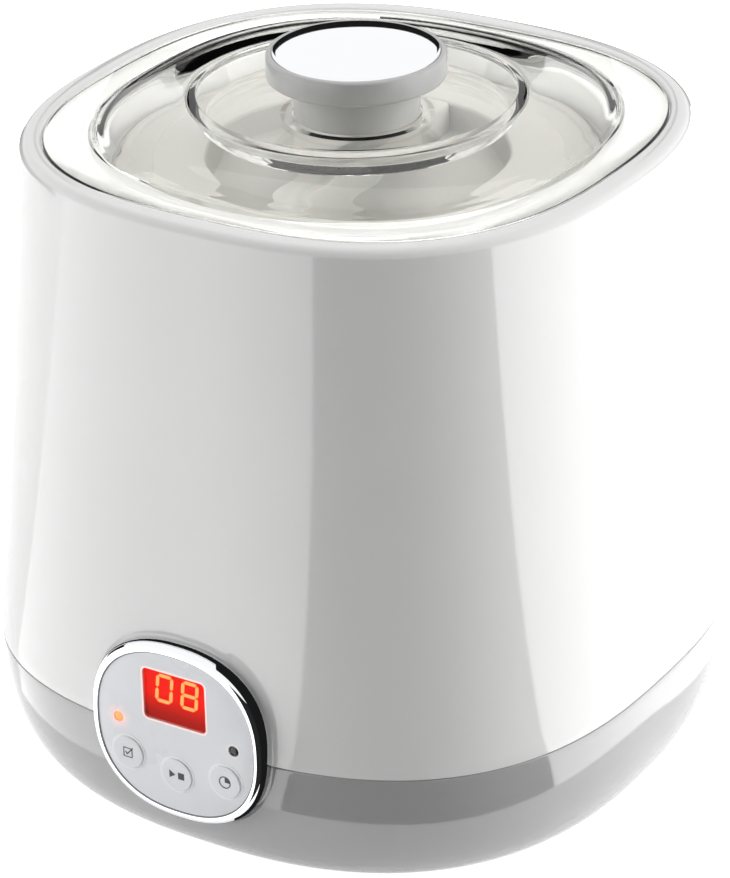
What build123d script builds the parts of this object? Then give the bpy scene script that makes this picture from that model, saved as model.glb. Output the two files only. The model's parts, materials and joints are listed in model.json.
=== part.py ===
from build123d import *
import os
from math import cos, pi, radians, sin

# Yogurt maker: a heated, thermostatically controlled well for one covered jar, under a clear lid.
# Millimetres, +Z up, the control panel towards -Y, and the origin on the table under the middle.

# ---- driving dimensions ----------------------------------------------------------------------
# Outside of the body. Every level section is a superellipse, given by a half width and a power.
floor_half_width = 60.0
max_half_width = 81.0
top_half_width = 72.0
floor_power = 2.4
parting_power = 2.68
top_power = 2.48
base_bottom = 2.5
turn_height = 24.0
parting_height = 36.5
rim_height = 159.7
rim_round = 2.0
base_curve = 2.93
wall_curve = 1.09
wall = 2.4
base_wall = 3.8
clearance = 0.3

# Top deck, the recess that the lid lies in, and the round mouth of the well.
recess_half_width = 66.3
recess_power = 2.64
recess_depth = 2.9
mouth_radius = 57.0
collar_wall = 2.2
gasket_thickness = 0.7
gasket_width = 0.9

# Heated well.
well_radius = 56.0
well_wall = 1.0
well_floor = 33.0
well_top = 148.5
well_corner = 6.0
well_ear_radius = 63.5

# Jar, its seal and its cover.
jar_radius = 54.6
neck_radius = 52.6
jar_wall = 2.0
jar_floor = 2.4
jar_shoulder = 130.0
jar_top = 147.9
seal_thickness = 0.8
cover_radius = 55.3
cover_skirt_bottom = 135.5
cover_thickness = 2.0
grip_radius = 34.0
grip_depth = 7.0
grip_bar = 9.0

# Clear lid and its knob.
lid_half_width = 65.8
flange_thickness = 2.5
lid_wall = 2.0
dome_half_width = 57.0
dome_rise = 7.0
dish_radius = 36.6
dish_floor = 160.8
dish_draft = 2.0
boss_radius = 17.0
boss_height = 0.9
stem_radius = 14.5
head_radius = 20.6
head_bottom = 169.8
head_top = 175.6
head_round = 0.9
cap_radius = 19.1
cap_crown = 1.6

# Control panel, an upright plane of its own in front of the wall.
panel_height = 39.4
panel_stand = 2.4
panel_power = 2.35
face_half_width = 21.1
face_half_height = 20.2
ring_width = 2.2
ring_round = 2.0
ring_depth = 9.0
skirt_wall = 0.9
face_setback = 0.4
face_thickness = 2.0
board_setback = 11.0
board_thickness = 1.6
button_radius = 3.9
button_travel = 0.6
button_stand = 0.5
window_width = 16.6
window_height = 12.8
window_rise = 8.9
lamp_radius = 1.25
lamp_places = {"yogurt_lamp": (-15.6, 0.3), "wine_lamp": (15.6, 0.3)}
button_places = {"function_button": (-13.2, -8.3), "start_button": (0.0, -10.4), "time_button": (13.2, -8.3)}

# Feet, screw posts, power board and cord gland.
post_offset = 43.5
post_radius = 3.5
post_bottom = 22.0
foot_radius = 6.4
foot_recess = 1.2
power_board_underside = 10.0
gland_height = 20.0
gland_bore = 3.5
gland_seat = 81.4
gland_end = 83.2

deck_height = rim_height - recess_depth
deck_underside = deck_height - wall
collar_bottom = well_top + gasket_thickness
floor_top = base_bottom + wall
lid_bottom = deck_height + 0.2
flange_top = lid_bottom + flange_thickness
crest_height = flange_top + dome_rise
cover_underside = jar_top + seal_thickness
cover_top = cover_underside + cover_thickness
post_places = [(x * post_offset, y * post_offset) for x in (1, -1) for y in (1, -1)]
board_post_places = [(x, y) for x in (-31, 31) for y in (-20, 20)]
face_post_places = [(-17.0, 9.0), (17.0, 9.0), (-7.0, -15.6), (7.0, -15.6)]


# ---- shapes shared by several pieces ---------------------------------------------------------
def body_half_width(height):
    """Half width of the outside of the body over its flats, at a height."""
    if height >= parting_height:
        rise = (height - parting_height) / (rim_height - parting_height)
        return max_half_width - (max_half_width - top_half_width) * rise**wall_curve
    drop = (parting_height - height) / (parting_height - base_bottom)
    bulge = max(0.0, 1 - drop**base_curve) ** (1 / base_curve)
    return floor_half_width + (max_half_width - floor_half_width) * bulge


def body_power(height):
    """Power of the body's level section at a height: squarest at the parting line."""
    if height >= parting_height:
        rise = (height - parting_height) / (rim_height - parting_height)
        return parting_power + (top_power - parting_power) * rise
    drop = (parting_height - height) / (parting_height - base_bottom)
    return parting_power + (floor_power - parting_power) * drop


def superellipse(half_width, power, half_height=None):
    """A superellipse drawn as four equal splines. Both halves are equal unless a second is given."""
    spans = 7
    half_height = half_height or half_width
    with BuildSketch() as outline:
        with BuildLine():
            for quarter in range(4):
                points = []
                for i in range(spans + 1):
                    angle = quarter * pi / 2 + i * pi / 2 / spans
                    x, y = cos(angle), sin(angle)
                    reach = 1 / (abs(x) ** power + abs(y) ** power) ** (1 / power)
                    points.append((half_width * reach * x, half_height * reach * y))
                turn = quarter * pi / 2
                Spline(*points, tangents=[(-sin(turn), cos(turn)), (-cos(turn), -sin(turn))])
        make_face()
    return outline.sketch


def body_section(height, inset=0.0):
    """The body's level section at a height, in from the outside by inset."""
    return superellipse(body_half_width(height) - inset, body_power(height))


def half_section(*corners):
    """A closed outline of (radius, height) corners, to be revolved about the vertical axis."""
    with BuildSketch() as outline:
        with BuildLine():
            Polyline(*corners, close=True)
        make_face()
    return outline.sketch


def turn_levels(bottom):
    """Heights from bottom up to where the base's wall stands nearly straight, closest low down."""
    steps = 7
    return [bottom + (turn_height - bottom) * (i / steps) ** 2 for i in range(steps + 1)]


panel_front = -body_half_width(panel_height) - panel_stand
panel_plane = Plane(origin=(0, panel_front, panel_height), x_dir=(1, 0, 0), z_dir=(0, -1, 0))


def panel_outline(margin):
    """The outline of the panel's face, grown by margin."""
    return superellipse(face_half_width + margin, panel_power, face_half_height + margin)


# Room for the panel's skirt, taken out of both halves of the body.
with BuildPart() as panel_opening:
    with BuildSketch(panel_plane.offset(2)):
        add(panel_outline(0.1 + skirt_wall + clearance))
    extrude(amount=-22)

# Outside of the body round the panel, a little proud, to trim the back of the ring clear of the wall.
with BuildPart() as wall_gauge:
    for height in (11, 14, 18, turn_height, 30, parting_height, 46, 58, 72):
        with BuildSketch(Plane.XY.offset(height)):
            add(body_section(height, -0.45))
    loft()

pieces = {}

# ---- body ------------------------------------------------------------------------------------
# Upper housing: tapered wall, rounded rim, recessed deck, collar round the mouth and screw posts.
round_start = rim_height - rim_round
with BuildPart() as upper_housing:
    for height in (parting_height, 60, 90, 120, round_start):
        with BuildSketch(Plane.XY.offset(height)):
            add(body_section(height))
    loft()
    for degrees in (0, 25, 50, 75):
        inset = rim_round * (1 - cos(radians(degrees)))
        with BuildSketch(Plane.XY.offset(round_start + rim_round * sin(radians(degrees)))):
            add(body_section(round_start, inset))
    loft()
    for height in (parting_height, 60, 90, 120, deck_underside):
        with BuildSketch(Plane.XY.offset(height)):
            add(body_section(height, wall))
    loft(mode=Mode.SUBTRACT)
    with BuildSketch(Plane.XY.offset(deck_height)):
        add(superellipse(recess_half_width, recess_power))
    extrude(amount=recess_depth, mode=Mode.SUBTRACT)
    with BuildSketch(Plane.XY.offset(collar_bottom)):
        Circle(mouth_radius + collar_wall)
    extrude(amount=deck_underside - collar_bottom)
    with BuildSketch(Plane.XY.offset(well_top)):
        with PolarLocations(well_ear_radius, 4):
            Circle(3.2)
            with Locations((-2.5, 0)):
                Rectangle(5, 3)
    extrude(amount=deck_underside - well_top)
    with BuildSketch(Plane.XY.offset(well_top)):
        Circle(mouth_radius)
    extrude(amount=rim_height - well_top, mode=Mode.SUBTRACT)
    with BuildSketch(Plane.XY.offset(post_bottom)):
        with Locations(*post_places):
            Circle(post_radius)
    extrude(amount=deck_underside - post_bottom)
    with BuildSketch(Plane.XY.offset(post_bottom)):
        with Locations(*post_places):
            Circle(1.4)
    extrude(amount=16, mode=Mode.SUBTRACT)
    with BuildSketch(Plane.XY.offset(well_top)):
        with PolarLocations(well_ear_radius, 4):
            Circle(1.2)
    extrude(amount=4.5, mode=Mode.SUBTRACT)
    add(panel_opening.part, mode=Mode.SUBTRACT)
pieces["upper_housing"] = upper_housing

# Base shell: the tray under the parting line, with its tongue, posts, foot recesses and vents.
straight_levels = [turn_height, (turn_height + parting_height) / 2, parting_height]
tongue_height = 4.0
with BuildPart() as base_shell:
    for levels in (turn_levels(base_bottom), straight_levels):
        for height in levels:
            with BuildSketch(Plane.XY.offset(height)):
                add(body_section(height))
        loft()
    for levels in (turn_levels(floor_top), straight_levels):
        for height in levels:
            with BuildSketch(Plane.XY.offset(height)):
                add(body_section(height, base_wall))
        loft(mode=Mode.SUBTRACT)
    with BuildSketch(Plane.XY.offset(parting_height - 2)):
        add(body_section(parting_height + tongue_height, wall + clearance))
        add(body_section(parting_height, base_wall - 0.2), mode=Mode.SUBTRACT)
    extrude(amount=tongue_height + 2)
    with BuildSketch(Plane.XY.offset(base_bottom + 0.5)):
        with Locations(*post_places):
            Circle(5.5)
    extrude(amount=post_bottom - base_bottom - 0.5)
    with BuildSketch(Plane.XY.offset(floor_top - 1)):
        with Locations(*board_post_places):
            Circle(3)
    extrude(amount=power_board_underside - floor_top + 1)
    with BuildSketch(Plane.XZ.offset(-gland_seat)):
        with Locations((0, gland_height)):
            Circle(9)
    extrude(amount=5)
    with BuildSketch(Plane.XZ.offset(-gland_seat)):
        with Locations((0, gland_height)):
            Circle(5.8)
    extrude(amount=8, mode=Mode.SUBTRACT)
    with BuildSketch(Plane.XY.offset(base_bottom)):
        with Locations(*post_places):
            Circle(foot_radius + 0.1)
    extrude(amount=foot_recess, mode=Mode.SUBTRACT)
    with BuildSketch(Plane.XY.offset(base_bottom)):
        with Locations(*post_places):
            Circle(3.2)
    extrude(amount=6, mode=Mode.SUBTRACT)
    with BuildSketch(Plane.XY.offset(base_bottom)):
        with Locations(*post_places):
            Circle(1.7)
    extrude(amount=post_bottom, mode=Mode.SUBTRACT)
    with BuildSketch(Plane.XY.offset(power_board_underside - 4)):
        with Locations(*board_post_places):
            Circle(1.2)
    extrude(amount=5, mode=Mode.SUBTRACT)
    with BuildSketch(Plane.XY.offset(base_bottom)):
        with GridLocations(6, 76, 7, 2):
            SlotOverall(20, 2.4, rotation=90)
    extrude(amount=wall, mode=Mode.SUBTRACT)
    add(panel_opening.part, mode=Mode.SUBTRACT)
pieces["base_shell"] = base_shell

foot_names = ["foot_back_right", "foot_front_right", "foot_back_left", "foot_front_left"]
for name, place in zip(foot_names, post_places):
    with BuildPart() as foot:
        with BuildSketch(Plane.XY):
            with Locations(place):
                Circle(foot_radius)
        extrude(amount=base_bottom + foot_recess)
        chamfer(foot.faces().sort_by(Axis.Z)[0].edges(), 0.5)
    pieces[name] = foot

# Screws from under the feet, up through the base into the posts of the housing.
with BuildPart() as base_screws:
    with BuildSketch(Plane.XY.offset(5.5)):
        with Locations(*post_places):
            Circle(3)
    extrude(amount=2.9)
    with BuildSketch(Plane.XY.offset(8)):
        with Locations(*post_places):
            Circle(1.4)
    extrude(amount=26)
pieces["base_screws"] = base_screws

# ---- heated well -----------------------------------------------------------------------------
well_underside = well_floor - well_wall
with BuildPart() as heated_well:
    with BuildSketch(Plane.XZ):
        with BuildLine():
            outer = well_radius + well_wall
            FilletPolyline(
                (0, well_underside),
                (outer, well_underside),
                (outer, well_top - well_wall),
                radius=well_corner + well_wall,
            )
            Polyline(
                (outer, well_top - well_wall),
                (outer + 3, well_top - well_wall),
                (outer + 3, well_top),
                (well_radius, well_top),
            )
            FilletPolyline(
                (well_radius, well_top),
                (well_radius, well_floor),
                (0, well_floor),
                radius=well_corner,
            )
            Line((0, well_floor), (0, well_underside))
        make_face()
    revolve(axis=Axis.Z)
    with BuildSketch(Plane.XY.offset(well_top - well_wall)):
        with PolarLocations(well_ear_radius, 4):
            Circle(3.2)
            with Locations((-3, 0)):
                Rectangle(4, 6.4)
    extrude(amount=well_wall)
    with BuildSketch(Plane.XY.offset(well_top - well_wall)):
        Circle(well_radius)
    extrude(amount=well_wall, mode=Mode.SUBTRACT)
    with BuildSketch(Plane.XY.offset(well_top - well_wall)):
        with PolarLocations(well_ear_radius, 4):
            Circle(1.4)
        with Locations(*post_places):
            Circle(post_radius + 0.2)
    extrude(amount=well_wall, mode=Mode.SUBTRACT)
pieces["heated_well"] = heated_well

with BuildPart() as well_gasket:
    with BuildSketch(Plane.XY.offset(well_top)):
        Circle(mouth_radius + gasket_width)
        Circle(mouth_radius, mode=Mode.SUBTRACT)
    extrude(amount=collar_bottom - well_top)
pieces["well_gasket"] = well_gasket

with BuildPart() as well_screws:
    with BuildSketch(Plane.XY.offset(well_top - well_wall - 1.6)):
        with PolarLocations(well_ear_radius, 4):
            Circle(2.6)
    extrude(amount=1.6)
    with BuildSketch(Plane.XY.offset(well_top - well_wall)):
        with PolarLocations(well_ear_radius, 4):
            Circle(1.2)
    extrude(amount=5)
pieces["well_screws"] = well_screws

# Heater disc against the underside of the well, held by a spreader plate with a central stud.
heater_radius = 42.0
heater_thickness = 2.6
heater_underside = well_underside - heater_thickness
with BuildPart() as heater_disc:
    with BuildSketch(Plane.XY.offset(heater_underside)):
        Circle(heater_radius)
        Circle(11, mode=Mode.SUBTRACT)
    extrude(amount=heater_thickness)
pieces["heater_disc"] = heater_disc

with BuildPart() as heater_plate:
    with BuildSketch(Plane.XY.offset(heater_underside - 1.2)):
        Circle(heater_radius - 2)
        Circle(11, mode=Mode.SUBTRACT)
        with PolarLocations(26, 6):
            Circle(4, mode=Mode.SUBTRACT)
    extrude(amount=1.2)
pieces["heater_plate"] = heater_plate

# Temperature sensor in the middle of the heater, pressed up by a spring clip on the plate.
with BuildPart() as temperature_sensor:
    with BuildSketch(Plane.XY.offset(well_underside - 4.2)):
        Circle(4.5)
    extrude(amount=4.2)
    with BuildSketch(Plane.XY.offset(well_underside - 6)):
        Circle(2)
    extrude(amount=1.8)
pieces["temperature_sensor"] = temperature_sensor

with BuildPart() as sensor_clip:
    with BuildSketch(Plane.XY.offset(heater_underside - 2.2)):
        Rectangle(36, 6)
        Circle(2.4, mode=Mode.SUBTRACT)
    extrude(amount=0.6)
    with BuildSketch(Plane.XY.offset(heater_underside - 1.6)):
        with Locations((-15.5, 0), (15.5, 0)):
            Rectangle(5, 6)
    extrude(amount=0.4)
pieces["sensor_clip"] = sensor_clip

with BuildPart() as thermal_fuse:
    with BuildSketch(Plane.YZ.offset(-7)):
        with Locations((31, heater_underside - 3.4)):
            Circle(2)
    extrude(amount=14)
    with BuildSketch(Plane.YZ.offset(-13)):
        with Locations((31, heater_underside - 3.4)):
            Circle(0.5)
    extrude(amount=26)
pieces["thermal_fuse"] = thermal_fuse

# ---- power board -----------------------------------------------------------------------------
board_top = power_board_underside + board_thickness
with BuildPart() as power_board:
    with BuildSketch(Plane.XY.offset(power_board_underside)):
        RectangleRounded(72, 50, 2)
        with Locations(*board_post_places):
            Circle(1.4, mode=Mode.SUBTRACT)
    extrude(amount=board_thickness)
pieces["power_board"] = power_board

with BuildPart() as board_screws:
    with BuildSketch(Plane.XY.offset(board_top)):
        with Locations(*board_post_places):
            Circle(2.4)
    extrude(amount=1.6)
    with BuildSketch(Plane.XY.offset(board_top - 5)):
        with Locations(*board_post_places):
            Circle(1.2)
    extrude(amount=5)
pieces["board_screws"] = board_screws

block_sizes = {
    "transformer": ((-17, 6), (17, 15, 12)),
    "relay": ((6, 10), (15, 12, 11)),
    "board_fuse": ((22, 2), (5, 16, 5)),
    "terminal_block": ((0, 20), (15, 7, 9)),
}
for name, (place, (length, width, height)) in block_sizes.items():
    with BuildPart() as block:
        with BuildSketch(Plane.XY.offset(board_top)):
            with Locations(place):
                RectangleRounded(length, width, 0.8)
        extrude(amount=height)
        fillet(block.faces().sort_by(Axis.Z)[-1].edges(), 0.5)
    pieces[name] = block

with BuildPart() as main_capacitor:
    with BuildSketch(Plane.XY.offset(board_top)):
        with Locations((-6, -12)):
            Circle(5)
    extrude(amount=12)
    fillet(main_capacitor.faces().sort_by(Axis.Z)[-1].edges(), 0.6)
pieces["main_capacitor"] = main_capacitor

# Heater leads: from the rear of the heater plate down into the terminal block.
terminal_top = board_top + block_sizes["terminal_block"][1][2]
lead_level = 22.5
with BuildPart() as heater_leads:
    for side in (-4, 4):
        with BuildLine():
            FilletPolyline(
                (side, 38, heater_underside - 1.2),
                (side, 38, lead_level),
                (side, 20, lead_level),
                (side, 20, terminal_top),
                radius=1.6,
            )
        with BuildSketch(Plane(origin=(side, 38, heater_underside - 1.2), z_dir=(0, 0, -1))):
            Circle(0.9)
        sweep()
pieces["heater_leads"] = heater_leads

with BuildPart() as cord_gland:
    with BuildSketch(Plane.XZ.offset(-gland_end)):
        with Locations((0, gland_height)):
            Circle(7.6)
    extrude(amount=gland_end - gland_seat)
    fillet(cord_gland.faces().sort_by(Axis.Y)[-1].edges(), 1.2)
    with BuildSketch(Plane.XZ.offset(-gland_seat)):
        with Locations((0, gland_height)):
            Circle(5.6)
    extrude(amount=12)
    with BuildSketch(Plane.XZ.offset(-gland_end)):
        with Locations((0, gland_height)):
            Circle(gland_bore)
    extrude(amount=18, mode=Mode.SUBTRACT)
pieces["cord_gland"] = cord_gland

# ---- control panel ---------------------------------------------------------------------------
# Ring: a rounded bezel whose back follows the wall, with a skirt through the wall.
with BuildPart() as panel_ring:
    with BuildSketch(panel_plane.offset(-ring_round)):
        add(panel_outline(ring_width))
    extrude(amount=ring_round - ring_depth)
    for degrees in (0, 25, 50, 75):
        inset = ring_round * (1 - cos(radians(degrees)))
        with BuildSketch(panel_plane.offset(ring_round * (sin(radians(degrees)) - 1))):
            add(panel_outline(ring_width - inset))
    loft()
    add(wall_gauge.part, mode=Mode.SUBTRACT)
    with BuildSketch(panel_plane.offset(-1.5)):
        add(panel_outline(0.1 + skirt_wall))
    extrude(amount=1.5 - ring_depth)
    with BuildSketch(panel_plane):
        add(panel_outline(0.1))
    extrude(amount=-ring_depth, mode=Mode.SUBTRACT)
pieces["panel_ring"] = panel_ring

# Face: plate with holes for the window, lamps and buttons, and posts that carry the board.
face_back = face_setback + face_thickness
with BuildPart() as panel_face:
    with BuildSketch(panel_plane.offset(-face_setback)):
        add(panel_outline(0))
        with Locations((0, window_rise)):
            RectangleRounded(window_width + 0.1, window_height + 0.1, 1.2, mode=Mode.SUBTRACT)
        with Locations(*lamp_places.values()):
            Circle(lamp_radius + 0.1, mode=Mode.SUBTRACT)
        with Locations(*button_places.values()):
            Circle(button_radius + clearance, mode=Mode.SUBTRACT)
    extrude(amount=-face_thickness)
    with BuildSketch(panel_plane.offset(-face_back)):
        with Locations(*face_post_places):
            Circle(1.9)
    extrude(amount=face_back - board_setback)
    with BuildSketch(panel_plane.offset(-board_setback)):
        with Locations(*face_post_places):
            Circle(0.9)
    extrude(amount=5, mode=Mode.SUBTRACT)
pieces["panel_face"] = panel_face

with BuildPart() as display_window:
    with BuildSketch(panel_plane.offset(-face_setback - 0.1)):
        with Locations((0, window_rise)):
            RectangleRounded(window_width, window_height, 1.15)
    extrude(amount=-1.6)
pieces["display_window"] = display_window

with BuildPart() as display_module:
    with BuildSketch(panel_plane.offset(-board_setback)):
        with Locations((0, window_rise - 0.8)):
            Rectangle(19, 13.6)
    extrude(amount=board_setback - face_back - 0.3)
pieces["display_module"] = display_module

for name, place in lamp_places.items():
    with BuildPart() as lamp:
        with BuildSketch(panel_plane.offset(-board_setback)):
            with Locations(place):
                Circle(lamp_radius)
        extrude(amount=board_setback - face_setback)
        with BuildSketch(panel_plane.offset(-board_setback)):
            with Locations(place):
                Circle(1.9)
        extrude(amount=board_setback - face_back - 1)
    pieces[name] = lamp

with BuildPart() as control_board:
    with BuildSketch(panel_plane.offset(-board_setback)):
        RectangleRounded(42, 37, 2)
        with Locations(*face_post_places):
            Circle(1, mode=Mode.SUBTRACT)
    extrude(amount=-board_thickness)
pieces["control_board"] = control_board

with BuildPart() as panel_screws:
    with BuildSketch(panel_plane.offset(-board_setback - board_thickness)):
        with Locations(*face_post_places):
            Circle(1.8)
    extrude(amount=-1.3)
    with BuildSketch(panel_plane.offset(-board_setback - board_thickness)):
        with Locations(*face_post_places):
            Circle(0.85)
    extrude(amount=5)
pieces["panel_screws"] = panel_screws

with BuildPart() as microcontroller:
    with BuildSketch(panel_plane.offset(-board_setback - board_thickness)):
        with Locations((0, 5)):
            Rectangle(18, 8)
    extrude(amount=-2.6)
pieces["microcontroller"] = microcontroller

# Each button: a round cap with a guard flange behind the face and a stem towards its switch.
flange_setback = face_back + 0.2
stem_end = 6.6
for name, place in button_places.items():
    with BuildPart() as button:
        with BuildSketch(panel_plane.offset(button_stand - face_setback)):
            with Locations(place):
                Circle(button_radius)
        extrude(amount=face_setback - button_stand - flange_setback)
        fillet(button.faces().sort_by(Axis.Y)[0].edges(), 0.3)
        with BuildSketch(panel_plane.offset(-flange_setback)):
            with Locations(place):
                Circle(button_radius + 0.8)
        extrude(amount=-0.8)
        with BuildSketch(panel_plane.offset(-flange_setback)):
            with Locations(place):
                Circle(1.4)
        extrude(amount=flange_setback - stem_end)
    pieces[name] = button

with BuildPart() as tact_switches:
    with BuildSketch(panel_plane.offset(-board_setback)):
        with Locations(*button_places.values()):
            Rectangle(6, 6)
    extrude(amount=2.8)
    with BuildSketch(panel_plane.offset(-board_setback)):
        with Locations(*button_places.values()):
            Circle(1.7)
    extrude(amount=board_setback - stem_end - button_travel - 0.3)
pieces["tact_switches"] = tact_switches

# Ribbon cable: from the foot of the control board to the front edge of the power board.
ribbon_start = panel_plane.offset(-board_setback - board_thickness - 0.5).origin
with BuildPart() as ribbon_cable:
    with BuildLine():
        FilletPolyline(
            (0, ribbon_start.Y, panel_height - 14),
            (0, ribbon_start.Y, 15.5),
            (0, -22, 15.5),
            (0, -22, board_top),
            radius=2.5,
        )
    with BuildSketch(Plane(origin=(0, ribbon_start.Y, panel_height - 14), x_dir=(1, 0, 0), z_dir=(0, 0, -1))):
        Rectangle(9, 0.9)
    sweep()
pieces["ribbon_cable"] = ribbon_cable

# ---- jar -------------------------------------------------------------------------------------
jar_bottom = well_floor + clearance
with BuildPart() as jar:
    with BuildSketch(Plane.XZ):
        with BuildLine():
            FilletPolyline((0, jar_bottom), (jar_radius, jar_bottom), (jar_radius, 90), radius=7)
            Polyline(
                (jar_radius, 90),
                (jar_radius, jar_shoulder),
                (neck_radius, jar_shoulder + 3),
                (neck_radius, jar_top),
                (neck_radius - jar_wall, jar_top),
                (neck_radius - jar_wall, jar_shoulder + 2),
                (jar_radius - jar_wall, jar_shoulder - 1),
                (jar_radius - jar_wall, 90),
            )
            FilletPolyline(
                (jar_radius - jar_wall, 90),
                (jar_radius - jar_wall, jar_bottom + jar_floor),
                (0, jar_bottom + jar_floor),
                radius=5,
            )
            Line((0, jar_bottom + jar_floor), (0, jar_bottom))
        make_face()
    revolve(axis=Axis.Z)
pieces["jar"] = jar

with BuildPart() as jar_seal:
    with BuildSketch(Plane.XY.offset(jar_top + 0.1)):
        Circle(neck_radius - 0.1)
        Circle(neck_radius - jar_wall + 0.1, mode=Mode.SUBTRACT)
    extrude(amount=seal_thickness - 0.1)
pieces["jar_seal"] = jar_seal

# Cover: skirt over the jar's neck, and a round recess crossed by a bar that fingers can grip.
with BuildPart() as jar_cover:
    grip_floor = cover_top - grip_depth
    with BuildSketch(Plane.XZ):
        add(half_section(
            (0, grip_floor - cover_thickness),
            (grip_radius + 2, grip_floor - cover_thickness),
            (grip_radius + 2, cover_underside),
            (neck_radius + clearance, cover_underside),
            (neck_radius + clearance, cover_skirt_bottom),
            (cover_radius, cover_skirt_bottom),
            (cover_radius, cover_top - 1),
            (cover_radius - 1, cover_top),
            (grip_radius, cover_top),
            (grip_radius, grip_floor),
            (0, grip_floor),
        ))
    revolve(axis=Axis.Z)
    with BuildSketch(Plane.XY.offset(grip_floor)):
        Rectangle(grip_bar, 2 * grip_radius + 1)
    extrude(amount=grip_depth)
pieces["jar_cover"] = jar_cover

# ---- lid and knob ----------------------------------------------------------------------------
# The dome goes from a superellipse at its foot to the round edge of the dish, level by level.
dome_levels = [
    (flange_top, dome_half_width, 2.5),
    (flange_top + 1.7, dome_half_width - 0.6, 2.5),
    (flange_top + 3.2, dome_half_width - 2.2, 2.48),
    (flange_top + 4.6, dome_half_width - 6.2, 2.38),
    (flange_top + 5.9, dome_half_width - 11.8, 2.2),
    (crest_height, dish_radius + 0.6, 2.0),
]
dish_foot = dish_radius - dish_draft
with BuildPart() as lid_hollow:
    for height, half_width, power in dome_levels[:-1]:
        with BuildSketch(Plane.XY.offset(height - lid_wall - (0 if height > flange_top else 1))):
            add(superellipse(half_width - lid_wall, power))
    loft()
    with BuildSketch(Plane.XZ):
        add(half_section(
            (0, lid_bottom - 1),
            (dish_foot + 2, lid_bottom - 1),
            (dish_radius + 3, crest_height),
            (0, crest_height),
        ))
    revolve(axis=Axis.Z, mode=Mode.SUBTRACT)

with BuildPart() as lid:
    with BuildSketch(Plane.XY.offset(lid_bottom)):
        add(superellipse(lid_half_width, recess_power))
    extrude(amount=flange_thickness)
    for height, half_width, power in dome_levels:
        with BuildSketch(Plane.XY.offset(height)):
            add(superellipse(half_width, power))
    loft()
    add(lid_hollow.part, mode=Mode.SUBTRACT)
    with BuildSketch(Plane.XZ):
        add(half_section(
            (0, dish_floor),
            (dish_foot, dish_floor),
            (dish_radius, crest_height),
            (0, crest_height),
        ))
    revolve(axis=Axis.Z, mode=Mode.SUBTRACT)
    with BuildSketch(Plane.XY.offset(lid_bottom)):
        Circle(dish_foot)
    extrude(amount=dish_floor - lid_wall - lid_bottom, mode=Mode.SUBTRACT)
    with BuildSketch(Plane.XY.offset(dish_floor)):
        Circle(boss_radius)
        Circle(stem_radius + 0.1, mode=Mode.SUBTRACT)
    extrude(amount=boss_height)
    with BuildSketch(Plane.XY.offset(dish_floor - lid_wall)):
        Circle(2.2)
    extrude(amount=lid_wall, mode=Mode.SUBTRACT)
pieces["lid"] = lid

# Knob: moulded stem and head, with a shallow seat in the top for the polished cap.
cap_seat = head_top - 1.0
with BuildPart() as knob:
    with BuildSketch(Plane.XZ):
        add(half_section(
            (0, dish_floor),
            (stem_radius, dish_floor),
            (stem_radius, head_bottom - 1.5),
            (stem_radius + 1.5, head_bottom),
            (head_radius, head_bottom),
            (head_radius, head_top),
            (cap_radius + 0.1, head_top),
            (cap_radius + 0.1, cap_seat),
            (0, cap_seat),
        ))
    revolve(axis=Axis.Z)
    top_rims = knob.edges().filter_by(GeomType.CIRCLE).group_by(Axis.Z)[-1]
    fillet(top_rims.sort_by(SortBy.RADIUS)[-1], head_round)
    with BuildSketch(Plane.XY.offset(dish_floor)):
        Circle(1.7)
    extrude(amount=9, mode=Mode.SUBTRACT)
pieces["knob"] = knob

cap_edge = head_top + 0.1
crown_radius = (cap_radius**2 + cap_crown**2) / (2 * cap_crown)
with BuildPart() as knob_cap:
    with BuildSketch(Plane.XZ):
        with BuildLine():
            Polyline((0, cap_edge + cap_crown), (0, cap_seat), (cap_radius, cap_seat), (cap_radius, cap_edge))
            RadiusArc((cap_radius, cap_edge), (0, cap_edge + cap_crown), -crown_radius)
        make_face()
    revolve(axis=Axis.Z)
pieces["knob_cap"] = knob_cap

with BuildPart() as knob_screw:
    with BuildSketch(Plane.XY.offset(dish_floor - lid_wall - 2)):
        Circle(3.8)
    extrude(amount=2)
    with BuildSketch(Plane.XY.offset(dish_floor - lid_wall)):
        Circle(1.7)
    extrude(amount=lid_wall + 8)
pieces["knob_screw"] = knob_screw

os.makedirs("parts", exist_ok=True)
for name, piece in pieces.items():
    piece.part.label = name
    export_step(piece.part, f"parts/{name}.step")
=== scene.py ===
import json
import math
import bmesh
import bpy
from mathutils import Matrix, Vector


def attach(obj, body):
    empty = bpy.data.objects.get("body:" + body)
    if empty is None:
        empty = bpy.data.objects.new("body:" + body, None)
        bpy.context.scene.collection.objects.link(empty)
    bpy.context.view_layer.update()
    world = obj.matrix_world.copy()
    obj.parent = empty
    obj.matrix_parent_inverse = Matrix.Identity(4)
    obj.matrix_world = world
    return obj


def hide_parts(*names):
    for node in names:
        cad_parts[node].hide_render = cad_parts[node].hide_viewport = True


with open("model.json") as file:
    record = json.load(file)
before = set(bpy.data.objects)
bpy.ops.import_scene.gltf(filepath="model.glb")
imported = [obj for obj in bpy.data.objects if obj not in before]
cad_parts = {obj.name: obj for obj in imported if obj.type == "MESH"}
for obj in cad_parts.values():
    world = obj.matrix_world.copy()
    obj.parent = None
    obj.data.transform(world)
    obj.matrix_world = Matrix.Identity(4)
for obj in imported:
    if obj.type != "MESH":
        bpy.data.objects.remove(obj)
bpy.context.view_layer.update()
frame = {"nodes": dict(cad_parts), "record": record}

MM = 0.001
SIDES = 240

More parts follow.
